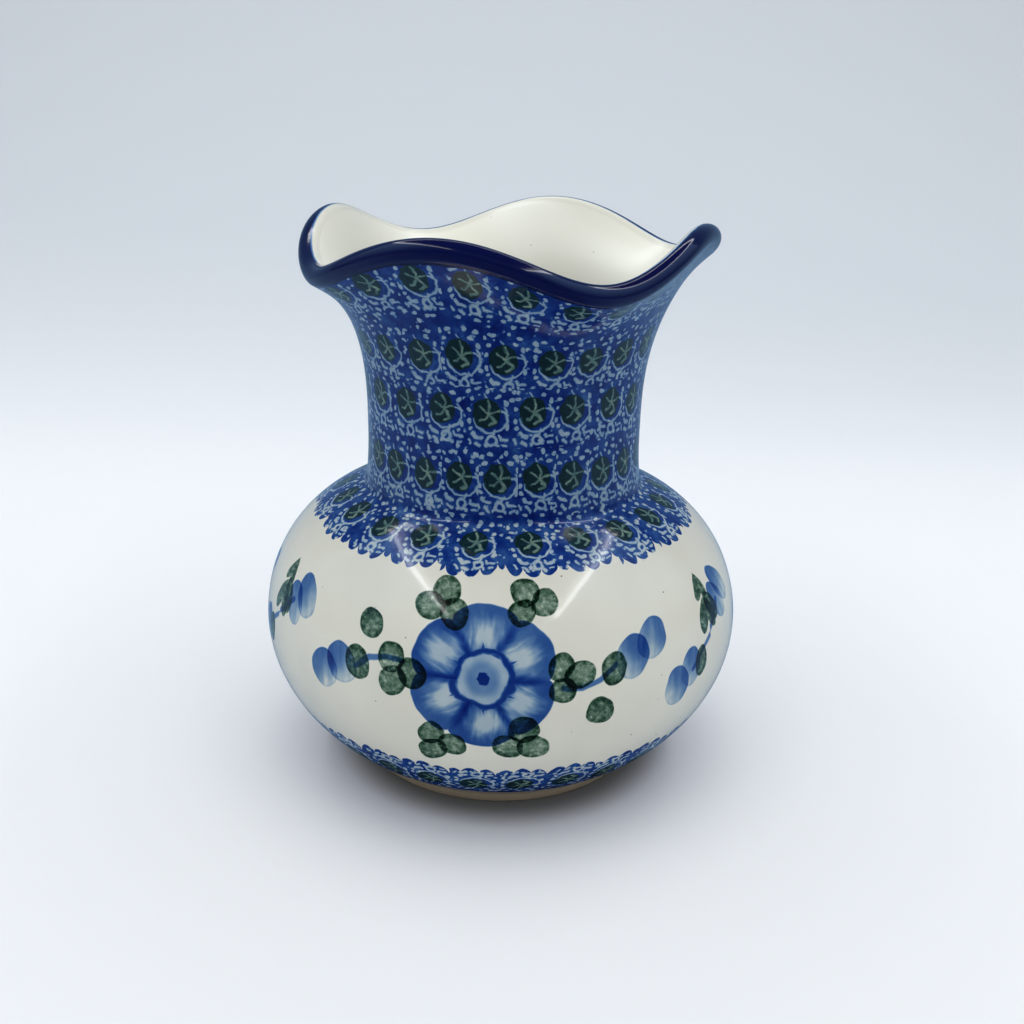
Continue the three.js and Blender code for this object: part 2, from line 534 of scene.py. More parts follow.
def neck_outline(shape):
    start, corner, end = crease(shape)
    bottom = bend(start, corner, end, CREASE_STEPS)[HALF_CREASE:]
    steps = 24
    heights = [end.y + (shape.seam_height - end.y) * step / steps for step in range(steps + 1)]
    bore = corner.x - shape.wall
    outline = Outline(bottom)
    outline.add([point(neck_middle(shape, h) + shape.wall / 2, h) for h in heights[1:]])
    outline.line_to(outline.points[-1] - point(shape.wall, 0), steps=3)
    outline.add([point(neck_middle(shape, h) - shape.wall / 2, h) for h in heights[-2::-1]])
    outline.add([point(bore, bottom[0].y)])
    outline.line_to(bottom[0], steps=3)
    return outline


def crease_length(shape):
    """Length up the wall from the glaze line to the middle of the crease, in millimetres."""
    outline, glaze_line = belly_outline(shape)
    top = bend(*crease(shape), CREASE_STEPS)[HALF_CREASE]
    nearest = min(range(len(outline.points)), key=lambda i: (outline.points[i] - top).length)
    return outline.lengths()[nearest] - glaze_line


def seam_length(shape):
    """Length up the wall from the glaze line to the seam below the mouth, in millimetres."""
    outline = neck_outline(shape)
    seam = next(i for i, p in enumerate(outline.points) if p.y >= shape.seam_height - 1e-6)
    return crease_length(shape) + outline.lengths()[seam]


def rim_outline(shape, wall_steps=48, lip_steps=24):
    """The rim's wall before its waves: up the outside, over the lip and down the inside."""
    outside, inside, rises = [], [], []
    nudge = 0.0001
    for step in range(wall_steps + 1):
        rise = step / wall_steps
        height = shape.seam_height + (shape.lip_height - shape.seam_height) * rise
        middle = point(neck_middle(shape, height), height)
        above = point(neck_middle(shape, height + nudge), height + nudge)
        along = (above - middle).normalized() if step else point(0, 1)
        swell = max(rise - shape.lip_swell_start, 0) / (1 - shape.lip_swell_start)
        swell = swell * swell * (3 - 2 * swell)
        half = shape.wall / 2 + (shape.lip_roll_radius - shape.wall / 2) * swell
        across = point(along.y, -along.x) * half
        outside.append(middle + across)
        inside.append(middle - across)
        rises.append(rise)
    lip = []
    for step in range(1, lip_steps):
        turn = math.pi * (step / lip_steps - 0.5)
        spoke = Matrix.Rotation(turn, 2) @ along
        lip.append(middle + spoke * shape.lip_roll_radius)
    outline = Outline([])
    outline.add(outside, rises)
    outline.add(lip, [1.0] * len(lip))
    outline.add(inside[::-1], rises[::-1])
    outline.line_to(outside[0], steps=3)
    return outline


# Geometry Nodes: the outline turned about the axis, with the mouth's waves

MAP_MARGIN = 0.004
JOIN_DISTANCE = 2e-6
# Lumps of the hand's waver to the metre, and the radius at which it reaches its full depth
WAVER_LUMPS = 26.0
WAVER_RADIUS = 60 * MM


def sampled(tree, outline, row, name):
    """A value of the outline's point at a row, from a named attribute."""
    column = add_node(tree, "GeometryNodeInputNamedAttribute", [name], data_type="FLOAT")
    node = add_node(tree, "GeometryNodeSampleIndex", data_type="FLOAT", domain="POINT")
    plug(tree, outline, node.inputs["Geometry"])
    plug(tree, column.outputs[0], node.inputs["Value"])
    plug(tree, row, node.inputs["Index"])
    return Value(tree, node.outputs[0])


def stored(tree, geometry, name, value, data_type, domain):
    node = add_node(tree, "GeometryNodeStoreNamedAttribute", data_type=data_type, domain=domain)
    for label, item in (("Geometry", geometry), ("Name", name), ("Value", value)):
        plug(tree, item, node.inputs[label])
    return Value(tree, node.outputs[0])


def thrown_wall_group():
    """Turns an outline about the axis. Waves grow up the rim, and the thrown wall wavers a little.

    Besides its outline, steps and glaze, it has an input for each of the mouth's settings.
    """
    tree, given, result = new_group("thrown wall", "GeometryNodeTree", [
        ("Outline", GEOMETRY), ("Steps", INTEGER), ("Strips", INTEGER),
        *((socket_label(name), FLOAT) for name in MouthWaves.__annotations__), ("Glaze", MATERIAL),
    ], [("Wall", GEOMETRY)])
    outline, steps = given["Outline"], given["Steps"]
    size = add_node(tree, "GeometryNodeAttributeDomainSize", [outline], component="MESH")
    rows = Value(tree, size.outputs["Point Count"])
    grid = add_node(tree, "GeometryNodeMeshGrid", {"Vertices X": steps + 1, "Vertices Y": rows})
    index = Value(tree, add_node(tree, "GeometryNodeInputIndex").outputs[0])
    row = index % rows
    turn = ((index + 0.5) / rows).floor() / steps * math.tau - math.pi
    radius = sampled(tree, outline, row, "radius")
    height = sampled(tree, outline, row, "height")
    rise = sampled(tree, outline, row, "rise")

    crest = (turn - given["Turn"]) * given["Waves"]
    wave, double_wave = crest.cos(), (crest * 2).cos()
    skew = ((turn - given["Skew Turn"]) * given["Skew Waves"]).cos() * given["Skew"]
    sideways = skew - wave * given["Draw"] - double_wave * given["Crest Widening"]
    upward = wave * given["Lift"] - double_wave * given["Crest Softening"]
    upward = upward - turn.cos() * given["Lean"]
    strength = rise ** given["Power"]
    radius = radius + sideways * strength
    height = height + upward * strength

    even = combined(tree, turn.sin() * radius, 0 - turn.cos() * radius, height)
    waver = add_node(tree, "ShaderNodeTexNoise", {
        "Vector": even, "Scale": WAVER_LUMPS, "Detail": 1.0})
    inwards = 1 - Value(tree, waver.outputs[0]) * given["Hand"] / WAVER_RADIUS
    centred = combined(tree, turn.sin() * radius * inwards, 0 - turn.cos() * radius * inwards, height)
    moved = add_node(tree, "GeometryNodeSetPosition", {
        "Geometry": grid.outputs["Mesh"], "Position": centred})

    face = Value(tree, add_node(tree, "GeometryNodeFaceOfCorner").outputs["Face Index"])
    vertex = Value(tree, add_node(tree, "GeometryNodeVertexOfCorner").outputs[0])
    up_wall = sampled(tree, outline, vertex % rows, "up_wall")
    wall = stored(tree, moved.outputs[0], "up_wall", up_wall, "FLOAT", "CORNER")
    strip_steps = steps / given["Strips"]
    strip = (((face + 0.5) / (rows - 1)).floor() / strip_steps).floor()
    column = ((vertex + 0.5) / rows).floor()
    along = (column - strip * strip_steps) / strip_steps
    map_row = sampled(tree, outline, vertex % rows, "map_height")
    room = 1 - 2 * MAP_MARGIN
    u = along * room + MAP_MARGIN
    v = (strip + map_row * room + MAP_MARGIN) / given["Strips"]
    wall = stored(tree, wall, "OFBake", combined(tree, u, v), "FLOAT2", "CORNER")
    joined = add_node(tree, "GeometryNodeMergeByDistance", {"Geometry": wall, "Distance": JOIN_DISTANCE})
    smooth = add_node(tree, "GeometryNodeSetShadeSmooth", [joined.outputs[0]])
    real = add_node(tree, "GeometryNodeRealizeInstances", [smooth.outputs[0]])
    glazed = add_node(tree, "GeometryNodeSetMaterial", {
        "Geometry": real.outputs[0], "Material": given["Glaze"]})
    put_out(tree, result, wall=glazed.outputs[0])
    return tree


def add_object(scene, name, data):
    made = bpy.data.objects.new(name, data)
    scene.collection.objects.link(made)
    return made


def socket_identifier(tree, label):
    """The identifier of a node group's input, by its name."""
    for item in tree.interface.items_tree:
        if item.in_out == "INPUT" and item.name == label:
            return item.identifier
    raise RuntimeError(f"the node group {tree.name} has no input named {label}")


TURN_STEPS = 288
MAP_STRIPS = 2
INSIDE_MAP_SHARE = 0.35
WHOLE_OUTLINE = (-math.inf, math.inf)
BELLY_OUTSIDE = (0, 89)
NECK_OUTSIDE = (0, 116)
RIM_OUTSIDE = (0, 160)
SHARP_EDGE = math.radians(30)


def throw(scene, name, outline, first_length, outside, material, strips=MAP_STRIPS):
    """Makes a piece of the vase: its outline goes through the node group and comes out as a mesh.

    first_length is the outline's length at its first point, measured up the wall from the
    glaze line. Past the lengths where the outside starts and ends, a baked map gives the
    wall less room.
    """
    lengths = [item + first_length for item in outline.lengths()]
    map_heights, total = [0.0], 0.0
    for before, after in zip(lengths, lengths[1:]):
        is_outside = outside[0] <= (before + after) / 2 <= outside[1]
        total += (after - before) * (1.0 if is_outside else INSIDE_MAP_SHARE)
        map_heights.append(total)
    mesh = bpy.data.meshes.new(name)
    mesh.from_pydata([(p.x, 0, p.y) for p in outline.points], [], [])
    columns = {
        "radius": [p.x for p in outline.points],
        "height": [p.y for p in outline.points],
        "rise": outline.rises,
        "up_wall": lengths,
        "map_height": [item / total for item in map_heights],
    }
    for label, values in columns.items():
        attribute = mesh.attributes.new(label, "FLOAT", "POINT")
        attribute.data.foreach_set("value", values)
    host = add_object(scene, name + "_outline", mesh)
    modifier = host.modifiers.new("thrown wall", "NODES")
    tree = modifier.node_group = made_once("thrown wall", thrown_wall_group)
    settings = {"Steps": TURN_STEPS, "Strips": strips, "Glaze": material}
    for label in MouthWaves.__annotations__:
        settings[socket_label(label)] = float(getattr(scene.vase_mouth, label))
    for label, value in settings.items():
        modifier[socket_identifier(tree, label)] = value
    depsgraph = bpy.context.evaluated_depsgraph_get()
    made = bpy.data.meshes.new_from_object(
        host.evaluated_get(depsgraph), preserve_all_data_layers=True, depsgraph=depsgraph)
    bpy.data.objects.remove(host)
    made.set_sharp_from_angle(angle=SHARP_EDGE)
    if not made.polygons:
        raise RuntimeError(f"{name} came out empty")
    return add_object(scene, name, made)


# Glaze and ink

def glaze_place(tree):
    """Where a point is on the vase, in millimetres."""
    coordinates = add_node(tree, "ShaderNodeTexCoord").outputs["Object"]
    scaled = add_node(tree, "ShaderNodeVectorMath", [coordinates], operation="SCALE")
    plug(tree, 1 / MM, scaled.inputs["Scale"])
    return Value(tree, scaled.outputs[0])


def polar(place):
    """The angle from the front and the radius of a place."""
    x, y, _ = xyz(place.tree, place)
    return arc_tangent(x, 0 - y), hypotenuse(x, y)


def noise(place, scale, detail=2.0, roughness=0.5):
    """Noise between 0 and 1 at a place, with a scale in lumps to the millimetre."""
    node = add_node(place.tree, "ShaderNodeTexNoise", {
        "Vector": place, "Scale": scale, "Detail": detail, "Roughness": roughness})
    return Value(place.tree, node.outputs[0])


def grains(place, scale):
    """Grains strewn over the wall: how far a place is from the next, and a number that each has."""
    node = add_node(place.tree, "ShaderNodeTexVoronoi", {"Vector": place, "Scale": scale}, feature="F1")
    gap = Value(place.tree, node.outputs["Distance"]) / scale
    return gap, rgb(place.tree, node.outputs["Color"])[0]


def chances(tree, first, second):
    """Three fixed random numbers between 0 and 1 for a pair of whole numbers."""
    pair = combined(tree, first, second)
    node = add_node(tree, "ShaderNodeTexWhiteNoise", {"Vector": pair}, noise_dimensions="3D")
    return rgb(tree, node.outputs["Color"])


# Each row of stamps, from the shoulder up: where it begins, its centre, its count, its phase
# and a number that its random slips start from
DOT_ROWS = [
    (0.0, 82.6, 21.0, -0.525, 1.0),
    (90.4, 98.7, 24.0, 0.127, 2.0),
    (106.5, 114.3, 21.0, 0.376, 3.0),
    (120.4, 126.9, 23.0, -0.045, 4.0),
    (135.6, 144.7, 25.0, -0.354, 5.0),
]
# A stamp, in millimetres from its middle. The dot, and what flecks keep off round it, are a
# centre and two radii. The arc and the ringlet are a centre, a radius and a line's width.
DOT = ((-0.35, 0.35), (3.1, 3.55))
DOT_SURROUND = ((0.3, -0.1), (4.5, 4.6))
ARC = ((0.55, -0.35), 3.75, 0.62)
RINGLET = ((0.8, -5.9), 0.95, 0.8)
# Its white lines, each with its width first
SPRIG_LINES = [
    (0.6, (-0.1, 3.3), (0.5, 1.7), (0.2, 0.5)),
    (0.6, (-1.8, 1.7), (0.2, 0.4), (2.3, 1.1)),
    (0.6, (0.2, 0.3), (-0.9, -1.1), (-1.6, -1.2)),
    (0.8, (0.2, 0.3), (1.2, -0.9), (1.6, -1.5), (0.3, -2.3)),
]
MARK_LINES = [
    (0.5, (-0.1, 3.5), (-0.9, 4.9)),
    (0.6, (2.1, 1.1), (3.5, 0.9), (4.6, 0.2)),
    (0.7, (1.6, -3.6), (1.3, -4.6), (0.3, -4.9)),
    (0.8, (0.1, -6.6), (-0.4, -7.1)),
    (0.8, (1.5, -6.6), (2.1, -7.0)),
    (1.0, (-3.2, -4.4), (-2.7, -5.1), (-1.5, -5.3)),
    (0.75, (2.6, -4.8), (2.8, -5.6), (4.3, -5.5)),
    (0.9, (-2.5, -6.5), (-1.7, -7.2)),
    (0.7, (-4.3, -5.9), (-3.9, -6.7)),
    (0.7, (3.4, -6.9), (4.2, -6.8)),
]
CRUMBS = [
    ((-3.6, 3.6), (0.65, 0.5)), ((-4.2, -1.6), (0.5, 0.7)), ((-4.1, 1.2), (0.45, 0.5)),
    ((3.9, 2.9), (0.55, 0.75)), ((2.2, 4.4), (0.7, 0.5)), ((4.3, -2.6), (0.5, 0.75)),
    ((-3.9, -3.2), (0.55, 0.5)), ((-2.6, 6.1), (0.7, 0.5)), ((0.8, 6.6), (0.5, 0.65)),
    ((3.3, 6.0), (0.75, 0.5)), ((-4.4, 5.3), (0.5, 0.6)), ((1.3, -8.4), (0.75, 0.5)),
    ((-2.9, -8.2), (0.6, 0.45)),
]
# White flecks between the marks: how many there are to a millimetre, and their greatest radius
FLECKS = 0.6
FLECK_RADIUS = 0.85
# The lace hem: how far below the dot it hangs, how much higher beside it, and its round feet
HEM_DROP = 6.6
HEM_RISE = 1.2
HEM_FOOT = 2.3
HEM_FOOT_WIDTH = 3.9
# A stamp slips and tilts a little, and its ink is uneven
STAMP_SLIP = 0.9
STAMP_TILT = 0.24
GROUND_INK = 1.25
GROUND_UNEVENNESS = 2.2
BLUE_IN_DOT = 0.52
SHOULDER_ROW = DOT_ROWS[0]
# The foot's border is the shoulder's turned upside down about this height up the wall
MIRROR_HEIGHT = 50.0
FOOT_COUNT = 30.0


def stamp_group():
    """One printed stamp, repeated round the vase: a dark green dot over a white arc, on a blue
    ground with white marks and flecks, and a scalloped lace edge below it."""
    tree, given, result = new_group("stamped dots", "ShaderNodeTree", [
        ("Place", VECTOR), ("Up", FLOAT), ("Count", FLOAT), ("Phase", FLOAT), ("Row", FLOAT),
    ], [("Blue", FLOAT), ("Green", FLOAT), ("Lace", FLOAT)])
    place = given["Place"]
    turn, radius = polar(place)
    cells = turn * given["Count"] / math.tau + given["Phase"]
    cell = cells.round()
    spacing = radius * math.tau / given["Count"]
    slide, lift, tilt = chances(tree, cell % given["Count"], given["Row"])
    across = (cells - cell) * spacing + (slide - 0.5) * STAMP_SLIP
    up = given["Up"] + (lift - 0.5) * STAMP_SLIP
    tilt = (tilt - 0.5) * STAMP_TILT
    level = Spot(combined(tree, across + up * tilt, up - across * tilt))
    spot = level.wobbled(place, amount=1.4, scale=0.5, detail=2.0)
    spot_across, spot_up = spot.parts()

    dot = spot.discs([DOT])
    worn = noise(place, 0.7, 2.0)
    sprig = spot.lines(SPRIG_LINES) * (0.35 + worn)
    arc = spot.ring(*ARC) * (spot_up - spot_across * 0.45).inside(0.6, 0.6)
    white = most(arc, spot.ring(*RINGLET))
    white = most(white, spot.lines(MARK_LINES))
    white = most(white, spot.discs(CRUMBS, 0.5))
    fleck_gap, fleck_chance = grains(place, FLECKS)
    ragged = (noise(place, 1.3, 1.0) - 0.5) * 1.1
    flecks = (fleck_gap + ragged).inside(fleck_chance * FLECK_RADIUS - 0.12, 0.4)
    near_dot = level.ellipse(*DOT_SURROUND).inside(1.0, 0.15)
    white = most(white, without(flecks, near_dot))

    shade = GROUND_INK + (noise(place, 0.26, 3.0, 0.6) - 0.5) * GROUND_UNEVENNESS
    ground = shade * (1 - white * (0.77 + worn * 0.2))
    blue = without(ground, dot) + dot * BLUE_IN_DOT * (1 - sprig)
    green = dot * (0.92 + worn * 0.4 - most(sprig, arc) * 0.76)

    # The hem is cut in round feet, and hangs lowest under the dots
    share = abs(across / spacing) * 2
    hem_across, hem_up = level.wobbled(place, amount=0.8, scale=0.4, detail=1.0).parts()
    feet = abs((hem_across * (math.pi / HEM_FOOT_WIDTH) + 0.5).cos()) ** 0.45
    edge = share * share * HEM_RISE - HEM_DROP - feet * HEM_FOOT
    lace = (hem_up - edge).ramp(-0.12, 0.12)
    put_out(tree, result, blue=blue, green=green, lace=lace)
    return tree


def rows_of_dots(up_wall):
    """The row of stamps that a height up the wall belongs to: its centre, count, phase and number."""
    found = DOT_ROWS[0][1:]
    for before, after in zip(DOT_ROWS, DOT_ROWS[1:]):
        reached = up_wall.above(after[0])
        found = [value + reached * (b - a) for value, a, b in zip(found, before[1:], after[1:])]
    return found


# The flower band: flowers round the belly, and sizes in millimetres from a flower's middle
FLOWERS = 3
FLOWER_TURN = math.radians(-3.6)
FLOWER_HEIGHT = 51.0
FLOWER_BLUE = 0.93
PETALS = 6
FLOWER_RADIUS = 14.3
NOTCH_DEPTH = 2.3
RING_RADIUS = 6.3
EYE_RADIUS = 5.6
HEART_RADIUS = 1.4
PALE_PATCH = ((0.0, 9.0), (5.0, 4.6))
TRIO_DISTANCE = 17.2
LEAF_RADIUS = 3.1
# Places and radii of leaves and berries
LONE_LEAVES = [
    ((29.6, 0.6), (3.3, 3.8)), ((26.3, -8.8), (3.2, 3.3)), ((57.6, -5.5), (2.5, 3.8)),
]
BERRIES = [
    ((34.2, 2.2), (4.4, 4.7)), ((39.6, 5.0), (4.2, 4.6)),
    ((48.4, -8.6), (4.0, 5.0)), ((53.4, -5.6), (3.7, 4.8)),
]
STALK_LEAVES = [
    ((59.2, 4.5), (2.1, 4.0)), ((64.0, 9.0), (2.1, 4.0)),
    ((57.4, 12.4), (2.0, 3.9)), ((61.8, 17.0), (2.0, 3.8)),
]
SPRAY_STEMS = [
    (1.2, (18.0, -2.2), (22.0, -2.7), (26.2, -1.4), (30.0, 1.4)),
    (1.2, (54.0, -6.0), (58.8, -2.4), (62.8, 0.0)),
]
STALK_STEM = [(1.1, (62.8, 0.0), (62.0, 4.0), (61.0, 9.0), (59.0, 15.0))]
# The same for a trio of leaves, in shares of a leaf's radius
LEAF_TRIO = [((0.85, 0.06), (1.06, 0.94)), ((-0.45, 0.8), (0.95, 1.0)), ((-0.4, -0.86), (1.0, 0.92))]


def brushed(spot, scale):
    """Streaks of a loaded brush, drawn out along a spot's up direction."""
    streaked = spot.place.vector("MULTIPLY", (scale, scale * 0.18, 0))
    return noise(streaked, 1.0) - 0.5


def flower_group():
    """The flower, its leaves, its berries and its stems, repeated round the belly."""
    tree, given, result = new_group("flower band", "ShaderNodeTree", [
        ("Place", VECTOR), ("Up", FLOAT),
    ], [("Blue", FLOAT), ("Green", FLOAT)])
    place = given["Place"]
    turn, radius = polar(place)
    cells = (turn - FLOWER_TURN) * (FLOWERS / math.tau)
    cell = cells.round()
    level_across = (cells - cell) * (math.tau / FLOWERS) * radius
    level = Spot(combined(tree, level_across, given["Up"] - FLOWER_HEIGHT))
    spot = level.wobbled(place, amount=1.6, scale=0.16)
    across, up = spot.parts()
    mottle = noise(place, 0.95, 3.0, 0.65) - 0.5
    patches = noise(place, 0.22, 2.0) - 0.5
    reach = hypotenuse(across, up)
    whorl = arc_tangent(up, across) * (PETALS / math.tau)

    # Petals point halfway between the leaves
    petal_share = whorl - 0.5
    petal = petal_share.round()
    petal_turn = (petal_share - petal) * (math.tau / PETALS)
    load, lean, _ = chances(tree, petal % float(PETALS), cell % float(FLOWERS) + 3.0)
    sideways = reach * petal_turn.sin()
    petal_spot = Spot(combined(tree, sideways, reach))
    notch = most((petal_turn * (PETALS / 2)).cos(), 0.0) ** 0.5
    flower = (reach - notch * NOTCH_DEPTH).inside(FLOWER_RADIUS, 0.4)
    pale = petal_spot.moved((lean - 0.5) * 2.0, load * 1.5).ellipse(*PALE_PATCH)
    pale = (pale + brushed(petal_spot, 0.9) * 0.9 + patches * 0.5).ramp(1.35, 0.25)
    to_gap = reach * (math.pi / PETALS - abs(petal_turn)).sin()
    gap = to_gap.ramp(1.6, 0.1) * reach.ramp(15.5, 8.0)
    petals = load * 0.3 + 0.8 + patches * 0.5
    petals = petals * (1 - pale * 0.82) + gap * 0.75
    ring = abs(reach + patches * 3.0 - RING_RADIUS).inside(0.8, 1.1)
    spikes = (abs(sideways) + (reach - 6.4) * 0.35).inside(0.6, 0.5) * reach.ramp(6.0, 6.6)
    eye = reach.inside(EYE_RADIUS, 0.6)
    heart = (spot.moved(0.1, 0.1).place.vector("LENGTH") + mottle * 1.8).inside(HEART_RADIUS, 0.6)
    iris = reach.ramp(4.6, 2.4) * 0.28 + 0.26 + patches * 0.3
    bloom = most(without(petals, eye), eye * iris, ring * 1.4, spikes * 1.1, heart * 1.6)
    blue = bloom * flower

    # Leaves in threes stand round the flower
    leaf_share = whorl.round()
    leaf_turn = (whorl - leaf_share) * (math.tau / PETALS)
    near, swing, size = chances(tree, leaf_share % float(PETALS), cell % float(FLOWERS) + 7.0)
    trio_x = reach * leaf_turn.cos() - TRIO_DISTANCE - near * 2.2
    trio_y = reach * leaf_turn.sin()
    tilt = (swing - 0.5) * 2.2
    cosine, sine = tilt.cos(), tilt.sin()
    size = size * 0.5 + LEAF_RADIUS
    trio = Spot(combined(
        tree, (trio_x * cosine + trio_y * sine) / size, (trio_y * cosine - trio_x * sine) / size))
    leaves = 0.0
    for centre, radii in LEAF_TRIO:
        away = trio.ellipse(centre, radii)
        leaves = away.inside(1.0, 0.09) * (0.6 + away.ramp(0.5, 1.0) * 0.5) + leaves

    # Berries and single leaves lie to both sides, the left side turned upside down
    side = across.sign()
    spray = Spot(combined(tree, abs(across), up * side))
    for centre, radii in LONE_LEAVES:
        away = spray.ellipse(centre, radii)
        leaves = away.inside(1.0, 0.08) * (0.75 + away.ramp(0.5, 1.0) * 0.5) + leaves
    berries = 0.0
    for centre, radii in BERRIES:
        away = spray.ellipse(centre, radii)
        light = (abs(across) - centre[0]) * -0.15 + (up - centre[1] * side) * -0.17
        tone = 0.75 + brushed(spray, 0.5) * 0.6 + patches * 0.4 - light.ramp(-0.7, 0.9) * 0.62
        berries = away.inside(1.0, 0.08) * (tone + away.ramp(0.85, 1.0) * 0.1) + berries

    # A leafy stalk rises between the sprays
    stalk = Spot(combined(tree, abs(across), up))
    for centre, radii in STALK_LEAVES:
        away = stalk.ellipse(centre, radii)
        leaves = away.inside(1.0, 0.08) * 0.9 + leaves
    stems = most(spray.lines(SPRAY_STEMS), stalk.lines(STALK_STEM))
    green = leaves * most(0.98 + mottle * 2.8 + patches * 1.6, 0.2)
    blue = (most(blue, stems * 0.65) + berries) * FLOWER_BLUE
    put_out(tree, result, blue=blue, green=green)
    return tree


def ink_group():
    """A glaze seen through prints of ink: each print multiplies what the glaze sends back."""
    tree, given, result = new_group("ink over glaze", "ShaderNodeTree", [
        ("Glaze", COLOUR), ("Ink", COLOUR), ("Thickness", FLOAT),
    ], [("Glaze", COLOUR)])
    through = []
    for glaze, ink in zip(rgb(tree, given["Glaze"]), rgb(tree, given["Ink"])):
        through.append(ink ** given["Thickness"] * glaze)
    shown = add_node(tree, "ShaderNodeCombineColor", through)
    put_out(tree, result, glaze=shown.outputs[0])
    return tree


def new_material(name):
    """A material with only a Principled shader, which is returned with its tree."""
    material = bpy.data.materials.new(name)
    material.use_nodes = True
    tree = material.node_tree
    return material, tree, tree.nodes["Principled BSDF"]


def up_the_wall(tree):
    node = add_node(tree, "ShaderNodeAttribute", attribute_name="up_wall", attribute_type="GEOMETRY")
    return Value(tree, node.outputs["Fac"])


# Painted shade on the printed neck and on the rim below its lip band: a grey of iron, and blue between
# the dots
NECK_PAINTED_SHADE = 0.037
NECK_SHADE_BLUE = 0.12
THIN_PRINT_GREY = 0.08
# How strong the cream is in the mouth, lighter as painted light, far down in it, darker as painted shade,
# and in its clouds
MOUTH_PAINTED_LIGHT = 1.13
DEEP_PAINTED_SHADE = 0.84
CLOUD_STRENGTHS = (1.03, 0.97)
# Iron specks: how many there are to a millimetre, and their greatest radius
SPECKS = 0.3
SPECK_RADIUS = 0.34
# Relief, in millimetres
GLAZE_RIPPLE = 0.03
PRINT_RELIEF = 0.006
GLOSS_ROUGHNESS = 0.07
SOFT_GLOSS = 0.28
GLASS_IOR = 1.5


def finish_glaze(tree, shader, colours, place, blue, green, cobalt, darkening=0.0, inside=None, deep=0.0):
    """Cream glaze with its specks, seen through the inks, and the glaze's gloss.

    Darkening is painted shade, laid on as a grey of iron; thin prints add a grey of their own to it.
    Inside is 1 in the mouth, where the cream is lighter as painted light and the gloss soft, and deep is
    1 far down in it, where the cream is darker as painted shade.
    """
    cloud = noise(place, 0.05, 2.0)
    iron_gap, iron_chance = grains(place, SPECKS)
    speck = iron_gap.inside(iron_chance * SPECK_RADIUS - 0.13, 0.12)
    clouds = (opaque(colours.cream, strength) for strength in CLOUD_STRENGTHS)
    shown = mixed(tree, cloud.ramp(0.3, 0.7), *clouds)
    # Painted light lightens the cream in the mouth, and painted shade darkens it far down in it
    if inside is not None:
        for reached, strength in ((inside, MOUTH_PAINTED_LIGHT), (deep, DEEP_PAINTED_SHADE)):
            shown = mixed(tree, reached, shown, opaque(colours.cream, strength))
    thin = blue.clamped()
    # Thin prints add their own grey to the painted shade
    darkening = thin * (1 - thin) * THIN_PRINT_GREY + darkening
    for ink, thickness in ((colours.iron, speck * 0.55 + darkening), (colours.blue, blue),
                           (colours.green, green), (colours.cobalt, cobalt)):
        if thickness is not None:
            group = made_once("ink over glaze", ink_group)
            layer = place_group(tree, group, glaze=shown, ink=opaque(ink), thickness=thickness)
            shown = layer["Glaze"]
    plug(tree, shown, shader.inputs["Base Color"])
    rough = GLOSS_ROUGHNESS + thin * 0.02
    if inside is not None:
        rough = rough + inside * SOFT_GLOSS
    plug(tree, rough, shader.inputs["Roughness"])
    shader.inputs["IOR"].default_value = GLASS_IOR
    bumped(tree, shader, 1.0, noise(place, 0.22, 2.0) * GLAZE_RIPPLE + thin * PRINT_RELIEF)


def stamped_rows(tree, place, up):
    """The blue and the green of the rows of stamps, with a little blue between their dots that is painted
    shade.
    """
    centre, number_round, phase, row = rows_of_dots(up)
    dots = place_group(
        tree, made_once("stamped dots", stamp_group), place=place, up=up - centre,
        count=number_round, phase=phase, row=row)
    return (1 - dots["Green"]) * NECK_SHADE_BLUE + dots["Blue"], dots["Green"]


BORDER_BLUE = 0.9
# Heights up the wall at which a print or a band ends
FOOT_LINE_TOP = 7.5
BELLY_PRINT_TOP = 91.0
NECK_PRINT_TOP = 118.0
LIP_BAND_START = 148.8
LIP_BAND_END = 155.8


def belly_material(colours):
    material, tree, shader = new_material("stamped belly glaze")
    place, up = glaze_place(tree), up_the_wall(tree)
    from_mirror = up - MIRROR_HEIGHT
    low = from_mirror.inside(0.0, 0.001)
    raised = abs(from_mirror) + MIRROR_HEIGHT - SHOULDER_ROW[1]
    dots = place_group(
        tree, made_once("stamped dots", stamp_group), place=place, up=raised,
        count=low * (FOOT_COUNT - SHOULDER_ROW[2]) + SHOULDER_ROW[2],
        phase=SHOULDER_ROW[3], row=low * 5.0 + SHOULDER_ROW[4])
    flowers = place_group(tree, made_once("flower band", flower_group), place=place, up=up)
    drawn = up.ramp(-0.4, 0.0) * up.inside(BELLY_PRINT_TOP, 1.0)
    blue = (dots["Blue"] * dots["Lace"] * BORDER_BLUE + flowers["Blue"]) * drawn
    green = (dots["Green"] * dots["Lace"] + flowers["Green"]) * drawn
    foot_line = up.ramp(FOOT_LINE_TOP, FOOT_LINE_TOP - 2.5) * up.ramp(-0.4, 0.0) * 0.9
    finish_glaze(tree, shader, colours, place, blue, green, foot_line)
    return material


def neck_material(colours):
    material, tree, shader = new_material("stamped neck glaze")
    place, up = glaze_place(tree), up_the_wall(tree)
    blue, green = stamped_rows(tree, place, up)
    drawn = up.inside(NECK_PRINT_TOP, 0.5)
    inside = up.ramp(NECK_PRINT_TOP, NECK_PRINT_TOP + 1.0)
    # Painted shade darkens the printed outside, and the inner wall's cream is darker as painted shade
    finish_glaze(
        tree, shader, colours, place, blue * drawn, green * drawn, None,
        NECK_PAINTED_SHADE * drawn, inside, inside)
    return material


